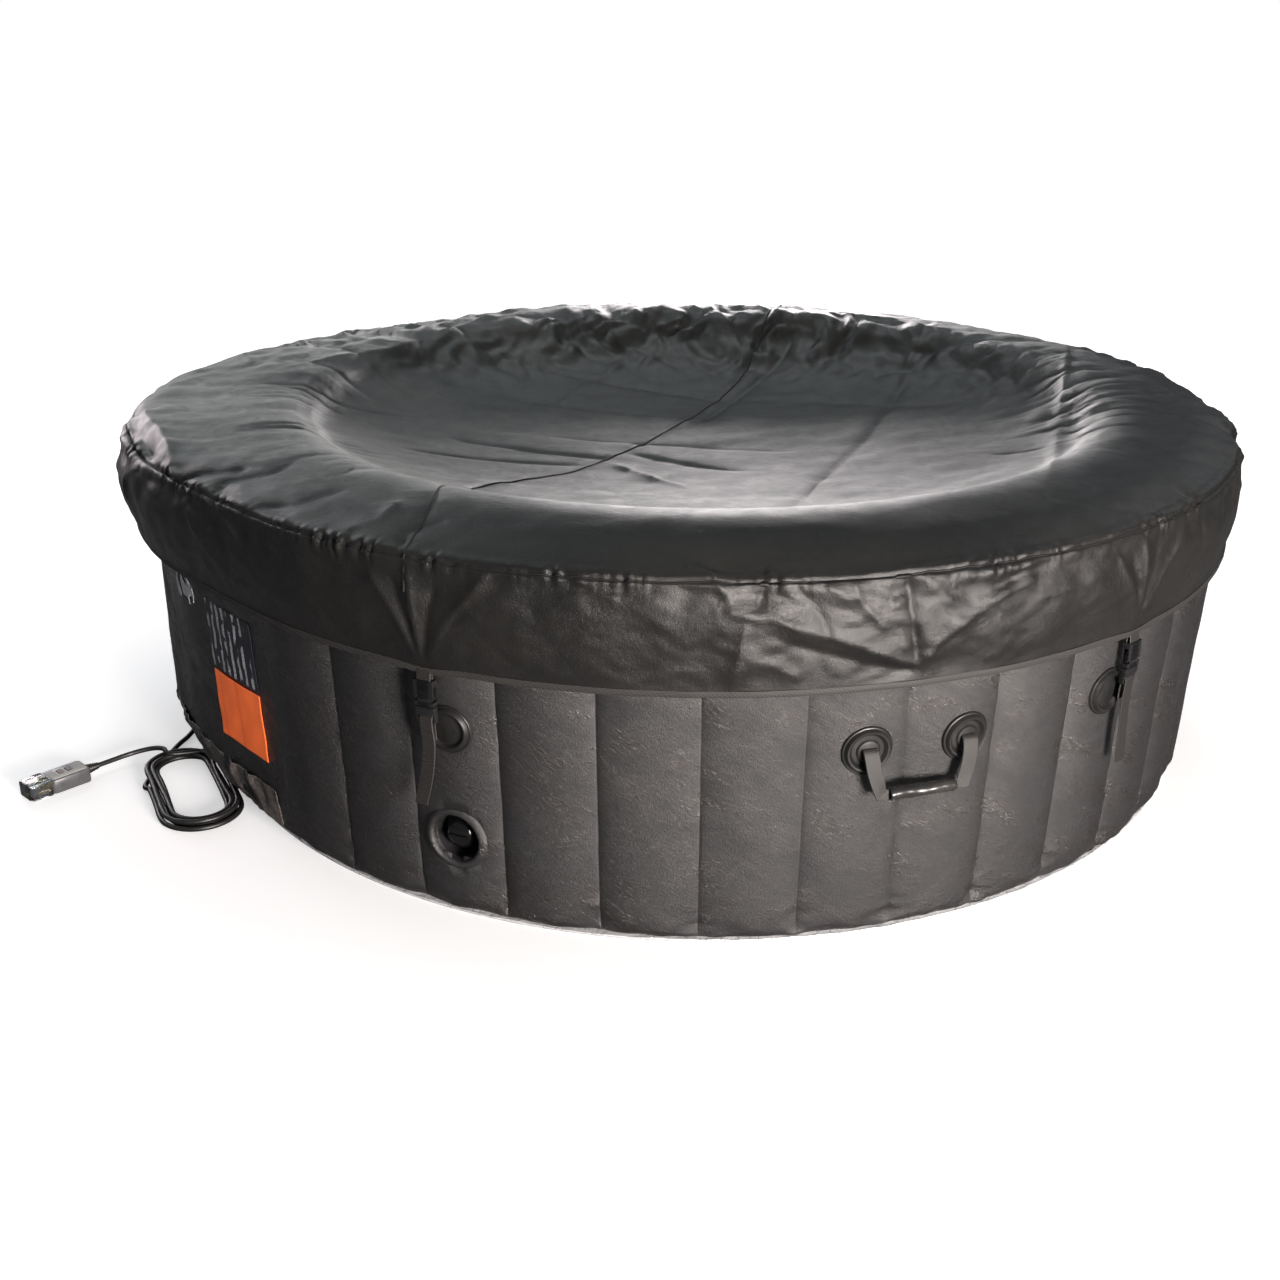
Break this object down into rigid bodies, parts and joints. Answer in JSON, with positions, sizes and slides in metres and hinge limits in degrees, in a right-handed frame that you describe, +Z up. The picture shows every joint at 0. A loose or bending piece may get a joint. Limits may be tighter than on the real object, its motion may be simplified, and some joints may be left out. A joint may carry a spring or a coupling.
{
  "type": "inflatable hot tub",
  "caption": "Round inflatable hot tub with ribbed walls, a control unit built into a bulge of its wall, a fitted buckle-down cover, carry handles, a drain valve and a coiled supply cord.",
  "frame": {"origin": "centre of the round tub on the floor, on the underside of the ground mat", "axes": "+Z up, -Y towards the drain valve and first handle, -X towards the control unit's bulge"},
  "size_m": [2.2646, 2.036, 0.645],
  "materials": {
    "wall_laminate": "black embossed vinyl laminate, satin",
    "liner": "grey vinyl laminate, satin",
    "foil_mat": "foil faced foam, wrinkled",
    "cover_sheet": "black leatherette, semi gloss",
    "hem_binding": "woven binding tape, dull",
    "webbing": "ribbed polyester webbing",
    "patch_vinyl": "welded vinyl, satin",
    "black_moulding": "moulded plastic, fine texture",
    "gloss_moulding": "moulded plastic, glossy",
    "grip_sleeve": "soft vinyl sleeve, glossy",
    "grey_moulding": "moulded plastic, fine texture",
    "light_moulding": "moulded plastic, satin",
    "display_lens": "tinted lens, glossy",
    "board_green": "coated circuit board",
    "motor_steel": "brushed",
    "heater_steel": "brushed",
    "filter_paper": "pleated filter cloth",
    "info_print": "printed film, satin",
    "orange_print": "printed film, satin",
    "flap_vinyl": "creased vinyl, semi gloss",
    "cord_rubber": "cord sheath, satin",
    "plug_moulding": "moulded plastic, satin",
    "prong_brass": "plated",
    "clear_cap": "clear plastic",
    "button_blue": "moulded plastic",
    "button_red": "moulded plastic"
  },
  "bodies": {
    "tub": {"outer_wall": "wall_laminate", "inner_wall": "liner", "top_ring": "wall_laminate", "base_ring": "wall_laminate", "floor_sheet": "liner", "chamber_webs": "liner", "pocket_walls": "wall_laminate", "ground_mat": "foil_mat", "air_jet_ring": "liner", "info_label": "info_print", "orange_label": "orange_print", "service_flap": "flap_vinyl", "handle_patches": "patch_vinyl", "strap_patches": "patch_vinyl", "drain_housing": "gloss_moulding", "air_valve_body": "black_moulding", "unit_case": "grey_moulding", "unit_lid": "grey_moulding", "display_window": "display_lens", "circuit_board": "board_green", "pump_housing": "black_moulding", "pump_motor": "motor_steel", "heater_tube": "heater_steel", "water_pipes": "grey_moulding", "blower_housing": "black_moulding", "wall_fittings": "light_moulding", "filter_cartridge": "filter_paper", "cord_gland": "black_moulding", "cord_feed": "cord_rubber", "cord_coil": "cord_rubber", "cord_lead": "cord_rubber", "plug_case": "plug_moulding", "plug_prongs": "prong_brass"},
    "drain_cap": {"drain_cap": "gloss_moulding"},
    "air_valve_stem": {"air_valve_stem": "grey_moulding"},
    "air_valve_cap": {"air_valve_cap": "black_moulding"},
    "button_heat": {"button_heat": "light_moulding"},
    "button_filter": {"button_filter": "light_moulding"},
    "button_bubbles": {"button_bubbles": "light_moulding"},
    "button_set": {"button_set": "light_moulding"},
    "pump_impeller": {"pump_impeller": "light_moulding"},
    "blower_fan": {"blower_fan": "light_moulding"},
    "filter_cap": {"filter_cap": "grey_moulding"},
    "handle_1": {"handle_strap_1": "webbing", "handle_grip_1": "grip_sleeve"},
    "handle_2": {"handle_strap_2": "webbing", "handle_grip_2": "grip_sleeve"},
    "handle_3": {"handle_strap_3": "webbing", "handle_grip_3": "grip_sleeve"},
    "buckle_1": {"buckle_plug_1": "black_moulding"},
    "buckle_2": {"buckle_plug_2": "black_moulding"},
    "buckle_3": {"buckle_plug_3": "black_moulding"},
    "buckle_4": {"buckle_plug_4": "black_moulding"},
    "cover": {"cover_top": "cover_sheet", "cover_skirt": "cover_sheet", "cover_hem": "hem_binding", "buckle_sockets": "black_moulding"},
    "plug_cap": {"plug_cap": "clear_cap"},
    "test_button": {"test_button": "button_blue"},
    "reset_button": {"reset_button": "button_red"}
  },
  "joints": [
    {"name": "cover_lift", "type": "slide", "parent": "tub", "child": "cover", "axis": [0, 0, 1], "range_m": [0, 0.9]},
    {"name": "drain_cap_turn", "type": "hinge", "parent": "tub", "child": "drain_cap", "pos_m": [-0.36738, -0.88692, 0.147], "axis": [-0.3827, -0.9239, 0], "range_deg": [0, 90]},
    {"name": "air_valve_press", "type": "slide", "parent": "tub", "child": "air_valve_stem", "axis": [0.6494, -0.7604, 0], "range_m": [0, 0.004], "stiffness_N_per_m": 400},
    {"name": "air_valve_cap_turn", "type": "hinge", "parent": "tub", "child": "air_valve_cap", "pos_m": [-0.64945, 0.76041, 0.3], "axis": [-0.6494, 0.7604, 0], "range_deg": [0, 270]},
    {"name": "filter_cap_turn", "type": "hinge", "parent": "tub", "child": "filter_cap", "pos_m": [-0.64, 0.09, 0.14], "axis": [1, 0, 0], "range_deg": [0, 90]},
    {"name": "pump_spin", "type": "hinge", "parent": "tub", "child": "pump_impeller", "pos_m": [-0.85, 0.09, 0.14], "axis": [1, 0, 0], "continuous": true},
    {"name": "blower_spin", "type": "hinge", "parent": "tub", "child": "blower_fan", "pos_m": [-0.9, -0.13, 0.42], "axis": [0, 0, 1], "continuous": true},
    {"name": "heat_button_press", "type": "slide", "parent": "tub", "child": "button_heat", "axis": [0, 0, -1], "range_m": [0, 0.0015], "stiffness_N_per_m": 600},
    {"name": "filter_button_press", "type": "slide", "parent": "tub", "child": "button_filter", "axis": [0, 0, -1], "range_m": [0, 0.0015], "stiffness_N_per_m": 600},
    {"name": "bubbles_button_press", "type": "slide", "parent": "tub", "child": "button_bubbles", "axis": [0, 0, -1], "range_m": [0, 0.0015], "stiffness_N_per_m": 600},
    {"name": "set_button_press", "type": "slide", "parent": "tub", "child": "button_set", "axis": [0, 0, -1], "range_m": [0, 0.0015], "stiffness_N_per_m": 600},
    {"name": "handle_1_swing", "type": "hinge", "parent": "tub", "child": "handle_1", "pos_m": [0.32489, -0.94892, 0.335], "axis": [-0.9461, -0.3239, 0], "range_deg": [0, 120]},
    {"name": "handle_2_swing", "type": "hinge", "parent": "tub", "child": "handle_2", "pos_m": [1.003, 0, 0.335], "axis": [0, -1, 0], "range_deg": [0, 120]},
    {"name": "handle_3_swing", "type": "hinge", "parent": "tub", "child": "handle_3", "pos_m": [0.32489, 0.94892, 0.335], "axis": [0.9461, -0.3239, 0], "range_deg": [0, 120]},
    {"name": "buckle_1_release", "type": "slide", "parent": "tub", "child": "buckle_1", "axis": [0, 0, -1], "range_m": [0, 0.035]},
    {"name": "buckle_2_release", "type": "slide", "parent": "tub", "child": "buckle_2", "axis": [0, 0, -1], "range_m": [0, 0.035]},
    {"name": "buckle_3_release", "type": "slide", "parent": "tub", "child": "buckle_3", "axis": [0, 0, -1], "range_m": [0, 0.035]},
    {"name": "buckle_4_release", "type": "slide", "parent": "tub", "child": "buckle_4", "axis": [0, 0, -1], "range_m": [0, 0.035]},
    {"name": "plug_cap_pull", "type": "slide", "parent": "tub", "child": "plug_cap", "axis": [-0.6691, -0.7431, 0], "range_m": [0, 0.045]},
    {"name": "test_button_press", "type": "slide", "parent": "tub", "child": "test_button", "axis": [0, 0, -1], "range_m": [0, 0.001], "stiffness_N_per_m": 600},
    {"name": "reset_button_press", "type": "slide", "parent": "tub", "child": "reset_button", "axis": [0, 0, -1], "range_m": [0, 0.001], "stiffness_N_per_m": 600}
  ]
}
